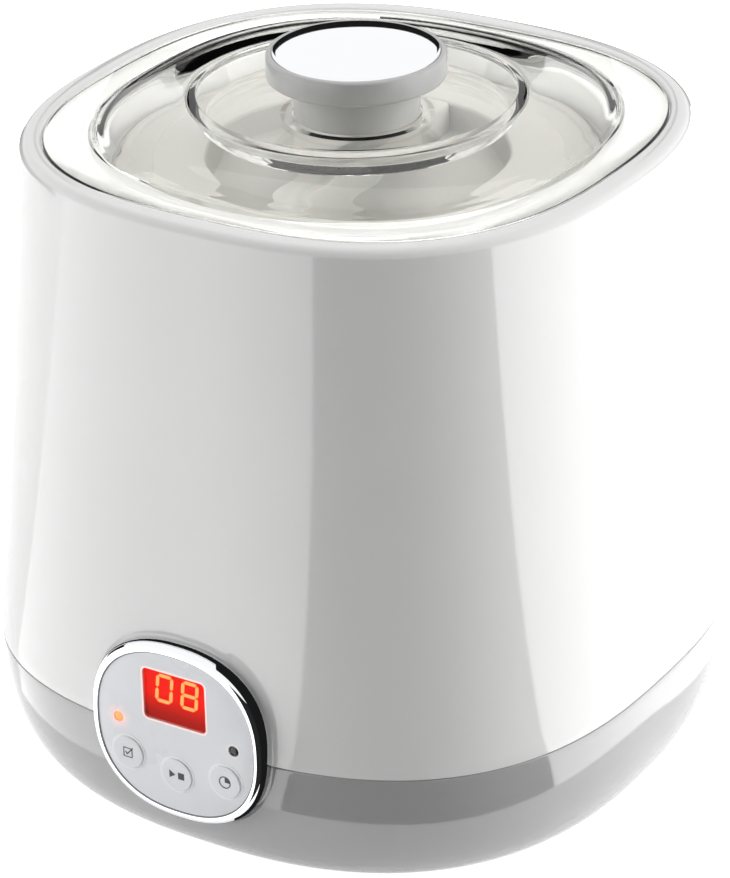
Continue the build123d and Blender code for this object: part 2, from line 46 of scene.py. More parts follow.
# ---- shape of the body, as in the CAD model, in millimetres ------------------------------------
BASE_BOTTOM, PARTING, RIM = 2.5, 36.5, 159.7
FLOOR_HALF, MAX_HALF, TOP_HALF = 60.0, 81.0, 72.0
FLOOR_POWER, PARTING_POWER, TOP_POWER = 2.4, 2.68, 2.48
BASE_CURVE, WALL_CURVE = 2.93, 1.09
RECESS_HALF, RECESS_POWER, DECK = 66.3, 2.64, 156.8
MOUTH_RADIUS, COLLAR_BOTTOM = 57.0, 149.2
WALL, BASE_WALL = 2.4, 3.8
LID_BOTTOM, FLANGE_TOP, LID_HALF = 157.0, 159.5, 66.1
DISH_FLOOR, DISH_RADIUS = 160.8, 36.6
PANEL_HEIGHT = 39.4
FACE_X, FACE_Y, PANEL_POWER = 21.1, 20.2, 2.35
WINDOW = (0.0, 8.9)
WINDOW_HALF = (8.3, 6.4)
LAMPS = {"yogurt_lamp": (-15.6, 0.3), "wine_lamp": (15.6, 0.3)}
BUTTONS = {"function_button": (-13.2, -8.3), "start_button": (0.0, -10.4), "time_button": (13.2, -8.3)}
PANEL_STAND = 2.4


def body_half(z):
    if z >= PARTING:
        return MAX_HALF - (MAX_HALF - TOP_HALF) * ((z - PARTING) / (RIM - PARTING)) ** WALL_CURVE
    drop = (PARTING - z) / (PARTING - BASE_BOTTOM)
    return FLOOR_HALF + (MAX_HALF - FLOOR_HALF) * max(0.0, 1 - drop**BASE_CURVE) ** (1 / BASE_CURVE)


def body_power(z):
    if z >= PARTING:
        return PARTING_POWER + (TOP_POWER - PARTING_POWER) * (z - PARTING) / (RIM - PARTING)
    return PARTING_POWER + (FLOOR_POWER - PARTING_POWER) * (PARTING - z) / (PARTING - BASE_BOTTOM)


PANEL_FRONT = -body_half(PANEL_HEIGHT) - PANEL_STAND

# ---- mesh making -------------------------------------------------------------------------------
def superellipse(half_x, half_y, power, count):
    loop = []
    for i in range(count):
        angle = 2 * math.pi * i / count
        c, s = math.cos(angle), math.sin(angle)
        reach = (abs(c) ** power + abs(s) ** power) ** (-1 / power)
        loop.append((half_x * reach * c, half_y * reach * s))
    return loop


def rounded_rectangle(half_x, half_y, corner, steps=8):
    loop = []
    for quarter, (sx, sy) in enumerate(((1, 1), (-1, 1), (-1, -1), (1, -1))):
        for i in range(steps + 1):
            angle = math.pi / 2 * (quarter + i / steps)
            x = sx * (half_x - corner) + corner * math.cos(angle)
            y = sy * (half_y - corner) + corner * math.sin(angle)
            loop.append((x, y))
    return loop


def rounded(profile, steps=5):
    """Rounds the corners of a profile of (half, height, power, radius) points."""
    out = []
    last = len(profile) - 1
    for i, (a, z, n, radius) in enumerate(profile):
        if radius <= 0 or i in (0, last):
            out.append((a, z, n))
            continue
        here = Vector((a, z))
        back = Vector(profile[i - 1][:2]) - here
        ahead = Vector(profile[i + 1][:2]) - here
        half_angle = back.angle(ahead) / 2
        reach = min(radius / math.tan(half_angle), 0.48 * back.length, 0.48 * ahead.length)
        start, end = here + back.normalized() * reach, here + ahead.normalized() * reach
        centre = here + (back.normalized() + ahead.normalized()).normalized() * (reach / math.cos(half_angle))
        first = math.atan2(start.y - centre.y, start.x - centre.x)
        sweep = math.remainder(math.atan2(end.y - centre.y, end.x - centre.x) - first, 2 * math.pi)
        arm = (start - centre).length
        for k in range(steps + 1):
            angle = first + sweep * k / steps
            out.append((centre.x + arm * math.cos(angle), centre.y + arm * math.sin(angle), n))
    return out


def smooth_levels(levels, steps=6):
    """Fills in a run of (half, height, power) levels along a smooth curve."""
    out = []
    count = len(levels)
    for i in range(count - 1):
        p0, p1, p2, p3 = (Vector(levels[min(max(j, 0), count - 1)]) for j in (i - 1, i, i + 1, i + 2))
        for k in range(steps):
            t = k / steps
            out.append(tuple(
                0.5 * (2 * p1 + (p2 - p0) * t + (2 * p0 - 5 * p1 + 4 * p2 - p3) * t**2
                       + (3 * p1 - p0 - 3 * p2 + p3) * t**3)
            ))
    out.append(tuple(levels[-1]))
    return out


def make_object(name, points, faces, sharp=35, place=None):
    mesh = bpy.data.meshes.new(name)
    mesh.from_pydata([Vector(p) * MM for p in points], [], faces)
    if place:
        mesh.transform(place)
    mesh.validate()
    obj = bpy.data.objects.new(name, mesh)
    bpy.context.scene.collection.objects.link(obj)
    finish_normals(obj, sharp)
    return obj


def finish_normals(obj, sharp=35):
    tool = bmesh.new()
    tool.from_mesh(obj.data)
    bmesh.ops.recalc_face_normals(tool, faces=tool.faces)
    tool.to_mesh(obj.data)
    tool.free()
    obj.data.shade_smooth()
    obj.data.set_sharp_from_angle(angle=math.radians(sharp))


def loft(name, profile, grow=(0.0, 0.0), closed=False, count=SIDES, sharp=35, place=None, outline=None):
    """Makes a shell through level loops. A level of no width closes the shell in one point."""
    points, rows, faces = [], [], []
    for a, z, n in profile:
        if not outline and a + grow[0] <= 1e-6:
            rows.append([len(points)])
            points.append((0.0, 0.0, z))
            continue
        loop = outline(a) if outline else superellipse(grow[0] + a, grow[1] + a, n, count)
        rows.append(list(range(len(points), len(points) + len(loop))))
        points.extend((x, y, z) for x, y in loop)
    pairs = list(zip(rows, rows[1:])) + ([(rows[-1], rows[0])] if closed else [])
    for low, high in pairs:
        size = max(len(low), len(high))
        for i in range(size):
            j = (i + 1) % size
            if len(low) == 1:
                faces.append((low[0], high[j], high[i]))
            elif len(high) == 1:
                faces.append((low[i], low[j], high[0]))
            else:
                faces.append((low[i], low[j], high[j], high[i]))
    if not closed:
        for row, turn in ((rows[0], -1), (rows[-1], 1)):
            if len(row) > 1:
                faces.append(row[::turn])
    return make_object(name, points, faces, sharp, place)


def turned(name, profile, count=128, **options):
    """A round piece from a profile of (radius, height, rounding) points."""
    return loft(name, rounded([(a, z, 2.0, r) for a, z, r in profile]), count=count, **options)


def cut(obj, cutter, sharp=35):
    """Takes the cutter's shape out of a piece, and removes the cutter."""
    tool = obj.modifiers.new("cut", "BOOLEAN")
    tool.object, tool.operation, tool.solver = cutter, "DIFFERENCE", "EXACT"
    bpy.context.view_layer.update()
    graph = bpy.context.evaluated_depsgraph_get()
    mesh = bpy.data.meshes.new_from_object(obj.evaluated_get(graph))
    obj.modifiers.remove(tool)
    obj.data = mesh
    bpy.data.objects.remove(cutter)
    finish_normals(obj, sharp)


def panel_place(u=0.0, v=0.0, w=0.0):
    """Stands a piece made flat in front of the panel: its x to the right, y up, z out of the wall."""
    axes = Matrix(((1, 0, 0, u), (0, 0, -1, PANEL_FRONT - w), (0, 1, 0, PANEL_HEIGHT + v), (0, 0, 0, 1)))
    axes.translation *= MM
    return axes


def wear(piece, material, body, slot, *nodes):
    piece.data.materials.clear()
    piece.data.materials.append(material)
    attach(piece, body)
    if nodes:
        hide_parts(*nodes)
    return piece


# ---- materials ---------------------------------------------------------------------------------
def material(name, color, roughness, metallic=0.0, wave=0.0, grain=0.0, grain_scale=900.0, **sockets):
    """A procedural surface: a little uneven in colour and gloss, with moulding waves and fine grain."""
    mat = bpy.data.materials.new(name)
    mat.use_nodes = True
    nodes, links = mat.node_tree.nodes, mat.node_tree.links
    shader = nodes["Principled BSDF"]
    shader.inputs["Metallic"].default_value = metallic
    for key, value in sockets.items():
        shader.inputs[key.replace("_", " ")].default_value = value
    place = nodes.new("ShaderNodeTexCoord")
    cloud = nodes.new("ShaderNodeTexNoise")
    cloud.inputs["Scale"].default_value = 35.0
    cloud.inputs["Detail"].default_value = 4.0
    links.new(place.outputs["Object"], cloud.inputs["Vector"])
    tint = nodes.new("ShaderNodeMix")
    tint.data_type = "RGBA"
    links.new(cloud.outputs["Fac"], tint.inputs["Factor"])
    tint.inputs["A"].default_value = (*[c * 0.985 for c in color], 1)
    tint.inputs["B"].default_value = (*[min(1.0, c * 1.015) for c in color], 1)
    links.new(tint.outputs["Result"], shader.inputs["Base Color"])
    gloss = nodes.new("ShaderNodeMapRange")
    gloss.inputs["To Min"].default_value = roughness * 0.85
    gloss.inputs["To Max"].default_value = roughness * 1.15
    links.new(cloud.outputs["Fac"], gloss.inputs["Value"])
    links.new(gloss.outputs["Result"], shader.inputs["Roughness"])
    normal = None
    for strength, scale, distance in ((wave, 28.0, 0.0006), (grain, grain_scale, 0.00005)):
        if strength <= 0:
            continue
        noise = nodes.new("ShaderNodeTexNoise")
        noise.inputs["Scale"].default_value = scale
        noise.inputs["Detail"].default_value = 2.0
        links.new(place.outputs["Object"], noise.inputs["Vector"])
        bump = nodes.new("ShaderNodeBump")
        bump.inputs["Strength"].default_value = strength
        bump.inputs["Distance"].default_value = distance
        links.new(noise.outputs["Fac"], bump.inputs["Height"])
        if normal:
            links.new(normal, bump.inputs["Normal"])
        normal = bump.outputs["Normal"]
    if normal:
        links.new(normal, shader.inputs["Normal"])
    return mat


def see_through(mat):
    """Lets the light of lamps through a clear material, so that what is under it isn't in full shadow."""
    nodes, links = mat.node_tree.nodes, mat.node_tree.links
    ray = nodes.new("ShaderNodeLightPath")
    open_way = nodes.new("ShaderNodeBsdfTransparent")
    open_way.inputs["Color"].default_value = (0.88, 0.88, 0.87, 1)
    mix = nodes.new("ShaderNodeMixShader")
    links.new(ray.outputs["Is Shadow Ray"], mix.inputs["Fac"])
    links.new(nodes["Principled BSDF"].outputs["BSDF"], mix.inputs[1])
    links.new(open_way.outputs["BSDF"], mix.inputs[2])
    links.new(mix.outputs["Shader"], nodes["Material Output"].inputs["Surface"])
    return mat


def fade_downward(mat, low, high, faint, full):
    """Lets a surface's own light fade from full to faint between two heights, given in metres."""
    nodes, links = mat.node_tree.nodes, mat.node_tree.links
    place = nodes.new("ShaderNodeTexCoord")
    height = nodes.new("ShaderNodeSeparateXYZ")
    fall = nodes.new("ShaderNodeMapRange")
    for key, value in (("From Min", low), ("From Max", high), ("To Min", faint), ("To Max", full)):
        fall.inputs[key].default_value = value
    links.new(place.outputs["Object"], height.inputs["Vector"])
    links.new(height.outputs["Z"], fall.inputs["Value"])
    links.new(fall.outputs["Result"], nodes["Principled BSDF"].inputs["Emission Strength"])


white = material("white_gloss", (0.84, 0.84, 0.835), 0.10, wave=0.02, Coat_Weight=0.6, Coat_Roughness=0.03)
grey = material("grey_gloss", (0.42, 0.42, 0.42), 0.12, wave=0.02, Coat_Weight=1.0, Coat_Roughness=0.03)
clear = see_through(material("clear_plastic", (0.955, 0.955, 0.94), 0.012, Transmission_Weight=1.0, IOR=1.3))
knob_white = material("knob_plastic", (0.52, 0.52, 0.515), 0.22, grain=0.15, wave=0.02)
chrome = material("chrome", (0.955, 0.965, 0.985), 0.03, metallic=1.0, wave=0.01)
red_clear = see_through(material("red_window", (1.0, 0.42, 0.36), 0.03, Transmission_Weight=1.0, IOR=1.1))
ink = material("printed_ink", (0.03, 0.03, 0.035), 0.45, grain=0.2)
line_grey = material("printed_line", (0.16, 0.16, 0.17), 0.4, grain=0.2)
# Pale ring colour: a painted highlight on the raised rims round the buttons.
pale_rim_highlight = material("pale_rim_painted_highlight", (0.95, 0.96, 0.97), 0.35, grain=0.2)
glow_red = material("window_glow", (1.0, 0.80, 0.78), 0.3, Emission_Color=(1.0, 0.62, 0.58, 1),
                    Emission_Strength=0.35)
# The display block's red glow is painted light: faint at the bottom, full at the top.
display_black = material("display_block", (0.20, 0.008, 0.004), 0.35, grain=0.3,
                         Emission_Color=(0.72, 0.012, 0.005, 1))
fade_downward(display_black, 0.0435, 0.0485, 0.12, 0.85)
digit_light = material("digit_light", (1.0, 0.4, 0.15), 0.3, Emission_Color=(1.0, 0.42, 0.14, 1),
                       Emission_Strength=2.2)
slot_looks = {
    "white_shell": white,
    "grey_shell": grey,
    "clear_plastic": clear,
    "knob_plastic": knob_white,
    "chrome": chrome,
    "display_red": red_clear,
    "well_metal": material("well_aluminium", (0.80, 0.80, 0.81), 0.28, metallic=1.0, grain=0.5,
                           grain_scale=1500),
    "steel": material("screw_steel", (0.56, 0.56, 0.58), 0.25, metallic=1.0, grain=0.3),
    "heater_ceramic": material("heater_ceramic", (0.72, 0.69, 0.62), 0.6, grain=0.8),
    "black_plastic": material("black_plastic", (0.03, 0.03, 0.03), 0.4, grain=0.4),
    "blue_plastic": material("relay_blue", (0.05, 0.12, 0.40), 0.35, grain=0.3),
    "yellow_tape": material("transformer_tape", (0.70, 0.55, 0.10), 0.45, grain=0.3),
    "green_plastic": material("terminal_green", (0.06, 0.33, 0.13), 0.4, grain=0.3),
    "circuit_board": material("circuit_board", (0.04, 0.20, 0.09), 0.35, grain=0.5),
    "lead_insulation": material("lead_insulation", (0.50, 0.05, 0.04), 0.45, grain=0.3),
    "ribbon": material("ribbon_cable", (0.50, 0.51, 0.53), 0.45, grain=0.4),
    "rubber": material("foot_rubber", (0.045, 0.045, 0.045), 0.65, grain=0.9, grain_scale=1400),
    "silicone": material("seal_silicone", (0.80, 0.78, 0.72), 0.4, grain=0.4),
    "jar_glass": see_through(material("jar_glass", (0.97, 0.985, 0.975), 0.02, wave=0.03,
                                      Transmission_Weight=1.0, IOR=1.48)),
    "cover_plastic": material("cover_plastic", (0.46, 0.455, 0.43), 0.30, grain=0.5, wave=0.03,
                              Subsurface_Weight=0.15, Subsurface_Scale=0.004),
    "lamp_lit": material("lamp_lit", (0.9, 0.3, 0.1), 0.2, Emission_Color=(1.0, 0.24, 0.06, 1),
                         Emission_Strength=1.0),
    "lamp_dark": material("lamp_dark", (0.045, 0.03, 0.035), 0.15, wave=0.02),
    "button_plastic": material("button_plastic", (0.86, 0.88, 0.91), 0.30, grain=0.25),
    "panel_plastic": material("panel_plastic", (0.86, 0.88, 0.91), 0.28, grain=0.2),
}


def add_glow(mat, centre, reach, strength):
    """Adds a soft red glow to a surface, round a point in front of the panel."""
    nodes, links = mat.node_tree.nodes, mat.node_tree.links
    place = nodes.new("ShaderNodeTexCoord")
    away = nodes.new("ShaderNodeVectorMath")
    away.operation = "DISTANCE"
    away.inputs[1].default_value = [c * MM for c in centre]
    fall = nodes.new("ShaderNodeMapRange")
    fall.interpolation_type = "SMOOTHSTEP"
    for key, value in (("From Min", 0.0), ("From Max", reach * MM), ("To Min", strength), ("To Max", 0.0)):
        fall.inputs[key].default_value = value
    links.new(place.outputs["Object"], away.inputs[0])
    links.new(away.outputs["Value"], fall.inputs["Value"])
    links.new(fall.outputs["Result"], nodes["Principled BSDF"].inputs["Emission Strength"])
    nodes["Principled BSDF"].inputs["Emission Color"].default_value = (1.0, 0.22, 0.16, 1)


lamp_u, lamp_v = LAMPS["yogurt_lamp"]
add_glow(slot_looks["panel_plastic"], (lamp_u, PANEL_FRONT, PANEL_HEIGHT + lamp_v), 4.2, 0.35)
for part in frame["record"]["subparts"]:
    node = frame["nodes"][part["node"]]
    node.data.materials.clear()
    node.data.materials.append(slot_looks[part["material_slot"]])

# ---- body --------------------------------------------------------------------------------------
GROOVE, SEAM = 0.35, 0.05
RIM_ROUND, COLLAR_WALL = 2.0, 2.2
wall_foot, wall_head = PARTING + GROOVE, RIM - RIM_ROUND
wall_levels = [(body_half(z), z, body_power(z)) for z in
               [wall_foot + (wall_head - wall_foot) * i / 40 for i in range(41)]]
start_half, start_power = body_half(wall_foot), body_power(PARTING)
profile = [(start_half - WALL, PARTING + SEAM, start_power), (start_half - 0.5, PARTING + SEAM, start_power)]
profile += [(start_half - GROOVE * (1 - math.sin(t)), PARTING + SEAM + GROOVE * (1 - math.cos(t)),
             start_power) for t in (0.3, 0.7, 1.1)]
profile += wall_levels
top_half = body_half(wall_head)
profile += [(top_half - RIM_ROUND * (1 - math.cos(t)), wall_head + RIM_ROUND * math.sin(t), TOP_POWER)
            for t in (0.15, 0.35, 0.6, 0.85, 1.1, 1.35, math.pi / 2)]
profile += rounded([
    (top_half - RIM_ROUND, RIM, TOP_POWER, 0), (RECESS_HALF, RIM, RECESS_POWER, 0.7),
    (RECESS_HALF, DECK, RECESS_POWER, 0.5), (MOUTH_RADIUS, DECK, 2.0, 0.8),
    (MOUTH_RADIUS, COLLAR_BOTTOM, 2.0, 0), (MOUTH_RADIUS + COLLAR_WALL, COLLAR_BOTTOM, 2.0, 0),
    (MOUTH_RADIUS + COLLAR_WALL, DECK - WALL, 2.0, 0),
])
profile += [(body_half(z) - WALL, z, body_power(z)) for z in (DECK - WALL, 120, 80, 50)]
housing = loft("housing_shell", profile, closed=True)
opening = loft("opening", [(1.3, -20, PANEL_POWER), (1.3, 3, PANEL_POWER)], grow=(FACE_X, FACE_Y),
               count=96, place=panel_place())
opening_again = opening.copy()
opening_again.data = opening.data.copy()
bpy.context.scene.collection.objects.link(opening_again)
cut(housing, opening)
wear(housing, white, "body", "white_shell", "upper_housing")

turn = [BASE_BOTTOM + (PARTING - GROOVE - BASE_BOTTOM) * (i / 44) ** 2 for i in range(45)]
profile = [(0.0, BASE_BOTTOM, FLOOR_POWER), (30, BASE_BOTTOM, FLOOR_POWER), (55, BASE_BOTTOM, FLOOR_POWER)]
profile += [(body_half(z), z, body_power(z)) for z in turn]
edge_half = body_half(PARTING - GROOVE)
profile += [(edge_half - GROOVE * (1 - math.cos(t)), PARTING - GROOVE - SEAM + GROOVE * math.sin(t),
             PARTING_POWER) for t in (0.4, 0.8, 1.2)]
TONGUE_IN, TONGUE_TOP, BASE_FLOOR = 2.9, PARTING + 4, 4.9
profile += [(half, z, PARTING_POWER) for half, z in
            ((edge_half - TONGUE_IN, PARTING - SEAM), (edge_half - TONGUE_IN, TONGUE_TOP),
             (edge_half - BASE_WALL, TONGUE_TOP))]
profile += [(body_half(z) - BASE_WALL, z, body_power(z)) for z in (PARTING, 25, 15, 9, 6, BASE_FLOOR)]
profile += [(30, BASE_FLOOR, FLOOR_POWER), (0.0, BASE_FLOOR, FLOOR_POWER)]
base = loft("base_tray", profile)
cut(base, opening_again)
for side in (-38, 38):
    for column in range(-3, 4):
        slot_shape = [(x + 6 * column, y + side) for x, y in rounded_rectangle(1.2, 10, 1.19)]
        vent = loft("vent", [(1, 0, 0), (1, 8, 0)], outline=lambda a, shape=slot_shape: shape)
        cut(base, vent)
wear(base, grey, "body", "grey_shell", "base_shell")

GLAND_SEAT, GLAND_HEIGHT = 77.2, 20
gland_place = (Matrix.Translation((0, GLAND_SEAT * MM, GLAND_HEIGHT * MM))
               @ Matrix.Rotation(-math.pi / 2, 4, "X"))
gland_pad = turned("gland_pad", [(5.8, 0, 0), (9, 0, 0), (9, 4.2, 0.6), (5.8, 4.2, 0)], closed=True,
                   place=gland_place)
wear(gland_pad, grey, "body", "grey_shell")

# ---- lid ---------------------------------------------------------------------------------------
CREST = FLANGE_TOP + 7.0
dome = [(57.0, FLANGE_TOP, 2.5), (56.4, FLANGE_TOP + 1.7, 2.5), (54.8, FLANGE_TOP + 3.2, 2.48),
        (50.8, FLANGE_TOP + 4.6, 2.38), (45.2, FLANGE_TOP + 5.9, 2.2), (DISH_RADIUS + 0.6, CREST, 2.0)]
outside = smooth_levels(dome)
inside = smooth_levels([(a - 2.0, z - 2.0, n) for a, z, n in dome[1:5]])
profile = rounded([
    (2.2, DISH_FLOOR - 2, 2, 0), (2.2, DISH_FLOOR, 2, 0), (14.6, DISH_FLOOR, 2, 0),
    (14.9, DISH_FLOOR + 0.25, 2, 0.1), (16.2, DISH_FLOOR + 0.3, 2, 0.6), (17.6, DISH_FLOOR, 2, 0.7),
    (34.6, DISH_FLOOR, 2, 0.8), (DISH_RADIUS, CREST, 2, 0.3), outside[-2] + (0,),
])[:-1]
profile += outside[::-1][1:-1]
profile += rounded([
    (56.95, FLANGE_TOP + 0.3, 2.5, 0), (57.4, FLANGE_TOP, 2.5, 0.3),
    (LID_HALF, FLANGE_TOP, RECESS_POWER, 0.5), (LID_HALF, LID_BOTTOM, RECESS_POWER, 0.4),
    (55.0, LID_BOTTOM, 2.5, 0.3), (54.9, LID_BOTTOM + 1, 2.5, 0),
])
profile += inside
profile += rounded([
    (40.5, 164.1, 2.05, 0), (38.5, 164.5, 2, 0.9), (36.2, DISH_FLOOR - 2, 2, 0.9), (20, DISH_FLOOR - 2, 2, 0),
])
lid = loft("clear_lid", profile, closed=True, sharp=50)
wear(lid, clear, "lid", "clear_plastic", "lid")

knob = turned("knob_moulding", [
    (0, 160.8, 0), (14.5, 160.8, 0.3), (14.5, 168.3, 0.8), (16.0, 169.8, 0.6), (20.6, 169.8, 0.8),
    (20.6, 175.6, 0.9), (19.2, 175.6, 0.15), (19.2, 174.6, 0), (0, 174.6, 0)])
wear(knob, knob_white, "lid", "knob_plastic", "knob")

CAP, CROWN, CAP_EDGE = 19.1, 1.6, 175.7
sphere = (CAP**2 + CROWN**2) / (2 * CROWN)
crown = [(a, CAP_EDGE + math.sqrt(sphere**2 - a**2) - (sphere - CROWN), 2.0) for a in
         [CAP - 0.2 - (CAP - 0.2) * i / 24 for i in range(24)]]
profile = [(0, 174.6, 2.0), (CAP, 174.6, 2.0), (CAP, CAP_EDGE - 0.1, 2.0), (CAP - 0.06, CAP_EDGE, 2.0)]
cap = loft("knob_disc", profile + crown + [(0, CAP_EDGE + CROWN, 2.0)], count=128)
wear(cap, chrome, "lid", "chrome", "knob_cap")

# ---- panel -------------------------------------------------------------------------------------
ring_profile = rounded([
    (0.1, -9, PANEL_POWER, 0), (0.1, -0.05, PANEL_POWER, 0.2), (0.4, -0.05, PANEL_POWER, 0)])
ring_profile += [(0.4 + 1.8 * math.sin(t), -0.05 - 2.2 * (1 - math.cos(t)), PANEL_POWER)
                 for t in (math.radians(6 * i) for i in range(1, 16))]
ring_profile += [(2.2, -6, PANEL_POWER), (1.0, -6, PANEL_POWER), (1.0, -9, PANEL_POWER)]
ring = loft("panel_bezel", ring_profile, grow=(FACE_X, FACE_Y), closed=True, count=160, place=panel_place())
wear(ring, chrome, "body", "chrome", "panel_ring")


def window_outline(margin):
    return rounded_rectangle(WINDOW_HALF[0] + margin, WINDOW_HALF[1] + margin, 1.1 + margin)


window = loft("display_lens", [(0, -1.0, 0), (0, -0.62, 0), (-0.12, -0.5, 0)], outline=window_outline,
              place=panel_place(*WINDOW))
wear(window, red_clear, "body", "display_red", "display_window")


# The face: a plate with holes, a fine dark line round it, and pale rings round buttons and lamp; the rings
# round the buttons are raised, and their paleness is a painted highlight on the raised rims.
face = loft("panel_plate", [(0, -2.4, PANEL_POWER), (0, -0.45, PANEL_POWER), (-0.12, -0.4, PANEL_POWER)],
            grow=(FACE_X, FACE_Y), count=160, place=panel_place())
cut(face, loft("hole", [(0.05, -3, 0), (0.05, 1, 0)], outline=window_outline, place=panel_place(*WINDOW)))
for u, v in LAMPS.values():
    cut(face, turned("hole", [(1.35, -3, 0), (1.35, 1, 0)], count=48, place=panel_place(u, v)))
for u, v in BUTTONS.values():
    cut(face, turned("hole", [(4.2, -3, 0), (4.2, 1, 0)], count=96, place=panel_place(u, v)))
wear(face, slot_looks["panel_plastic"], "body", "panel_plastic", "panel_face")


def band(name, inner, outer, depth, place, look, slot="panel_plastic", body="body", count=96):
    """A thin flat ring between two loops of (x, y) points."""
    low = [(x, y, 0.0) for x, y in inner] + [(x, y, 0.0) for x, y in outer]
    points = low + [(x, y, depth) for x, y, _ in low]
    size = len(inner)
    faces = []
    for i in range(size):
        j = (i + 1) % size
        faces.append((i, j, size + j, size + i))
        faces.append((2 * size + i, 3 * size + i, 3 * size + j, 2 * size + j))
        faces.append((i, 2 * size + i, 2 * size + j, j))
        faces.append((size + i, size + j, 3 * size + j, 3 * size + i))
    return wear(make_object(name, points, faces, place=place), look, body, slot)


def circle_loop(radius, count=72):
    return [(radius * math.cos(2 * math.pi * i / count), radius * math.sin(2 * math.pi * i / count))
            for i in range(count)]


def slab(name, outline, depth, place, look, slot="panel_plastic", body="body"):
    """A thin flat plate of any outline."""
    size = len(outline)
    points = [(x, y, 0.0) for x, y in outline] + [(x, y, depth) for x, y in outline]
    faces = [tuple(range(size))[::-1], tuple(range(size, 2 * size))]
    faces += [(i, (i + 1) % size, size + (i + 1) % size, size + i) for i in range(size)]
    return wear(make_object(name, points, faces, place=place), look, body, slot)


PRINT = 0.03
FACE_TOP = -0.4
band("panel_line", superellipse(FACE_X - 0.16, FACE_Y - 0.16, PANEL_POWER, 160),
     superellipse(FACE_X + 0.02, FACE_Y + 0.02, PANEL_POWER, 160), PRINT, panel_place(w=FACE_TOP), line_grey)
# Raised rings round the buttons: their pale colour is a painted highlight on the rims. The wine lamp's ring
# has the same pale colour.
for name, (u, v) in BUTTONS.items():
    band(name + "_outline", circle_loop(4.02), circle_loop(4.7), 0.08, panel_place(u, v, FACE_TOP),
         pale_rim_highlight)
wine_u, wine_v = LAMPS["wine_lamp"]
band("wine_lamp_outline", circle_loop(1.5), circle_loop(1.8), PRINT, panel_place(wine_u, wine_v, FACE_TOP),
     pale_rim_highlight)
band("window_glow", window_outline(0.08), window_outline(0.5), PRINT, panel_place(*WINDOW, FACE_TOP),
     glow_red)

for name, (u, v) in LAMPS.items():
    dome_points = [(0, -10.5, 0), (1.22, -10.5, 0), (1.22, -0.75, 0.3), (0.6, -0.42, 0.4), (0, -0.4, 0)]
    lens = turned(name + "_lens", dome_points, count=48, place=panel_place(u, v))
    wear(lens, slot_looks["lamp_lit" if name == "yogurt_lamp" else "lamp_dark"], "body",
         "lamp_lit" if name == "yogurt_lamp" else "lamp_dark", name)

for name, (u, v) in BUTTONS.items():
    cap_points = [(0, -6.6, 0), (1.4, -6.6, 0), (1.4, -3.4, 0), (4.7, -3.4, 0), (4.7, -2.6, 0),
                  (4.0, -2.6, 0), (4.0, 0.05, 0.1), (3.0, 0.03, 1.5), (0, -0.02, 0)]
    button = turned(name + "_cap", cap_points, count=96, place=panel_place(u, v))
    wear(button, slot_looks["button_plastic"], name, "button_plastic", name)


def glyph(button, name, outline, place, ring_of=None):
    """A printed mark on a button, which moves with it."""
    if ring_of:
        return band(f"{button}_{name}", ring_of, outline, PRINT, place, ink, "button_plastic", button)
    return slab(f"{button}_{name}", outline, PRINT, place, ink, "button_plastic", button)


def rectangle(x0, y0, x1, y1):
    return [(x0, y0), (x1, y0), (x1, y1), (x0, y1)]


u, v = BUTTONS["function_button"]
spot = panel_place(u, v, 0.02)
glyph("function_button", "box", rounded_rectangle(1.25, 1.25, 0.2, 2), spot,
      ring_of=rounded_rectangle(1.02, 1.02, 0.05, 2))
tick = [(-0.75, 0.1), (-0.2, -0.6), (1.5, 1.35), (1.3, 1.5), (-0.2, -0.2), (-0.6, 0.3)]
glyph("function_button", "tick", tick, spot)
u, v = BUTTONS["start_button"]
spot = panel_place(u, v, 0.02)
glyph("start_button", "run", [(-1.9, -1.0), (-0.3, 0.0), (-1.9, 1.0)], spot)
glyph("start_button", "stop", rectangle(0.45, -0.85, 2.1, 0.85), spot)
u, v = BUTTONS["time_button"]
spot = panel_place(u, v, 0.02)
glyph("time_button", "dial", circle_loop(1.55), spot, ring_of=circle_loop(1.3))
slice_points = [(0.0, 0.0)] + [(1.3 * math.cos(math.pi / 2 * i / 12), 1.3 * math.sin(math.pi / 2 * i / 12))
                               for i in range(13)]
glyph("time_button", "slice", slice_points, spot)

# The two-digit display behind the window: seven bars to a digit, leaning a little to the right.
DISPLAY_FRONT = -1.1
module = loft("display_block", [(-0.1, -10.9, 0), (-0.1, -2.9, 0), (-0.3, -2.75, 0)],
              outline=lambda a: rounded_rectangle(9.5 + a, 6.8 + a, 0.5, 3), place=panel_place(0, 8.1))
wear(module, display_black, "body", "black_plastic", "display_module")
screen_front = loft("display_front", [(-0.03, -2.7, 0), (-0.03, DISPLAY_FRONT, 0)], outline=window_outline,
                    place=panel_place(*WINDOW))
wear(screen_front, display_black, "body", "black_plastic")
DIGITS = {"0": "abcdef", "8": "abcdefg"}
HALF_W, HALF_H, BAR = 1.9, 3.3, 0.85
LEAN = 0.10
DIGIT_RISE = 1.9


def digit_bar(name, x0, y0, x1, y1, centre):
    along = Vector((x1 - x0, y1 - y0))
    step = along.normalized()
    side = Vector((-step.y, step.x)) * BAR / 2
    start, end = Vector((x0, y0)) + step * 0.12, Vector((x1, y1)) - step * 0.12
    nose = step * BAR / 2
    outline = [start, start + nose - side, end - nose - side, end, end - nose + side, start + nose + side]
    shape = [(p.x + LEAN * p.y + centre, p.y) for p in outline]
    spot = panel_place(WINDOW[0], WINDOW[1] + DIGIT_RISE, DISPLAY_FRONT + 0.01)
    return slab(name, shape, 0.05, spot, digit_light, "display_red")


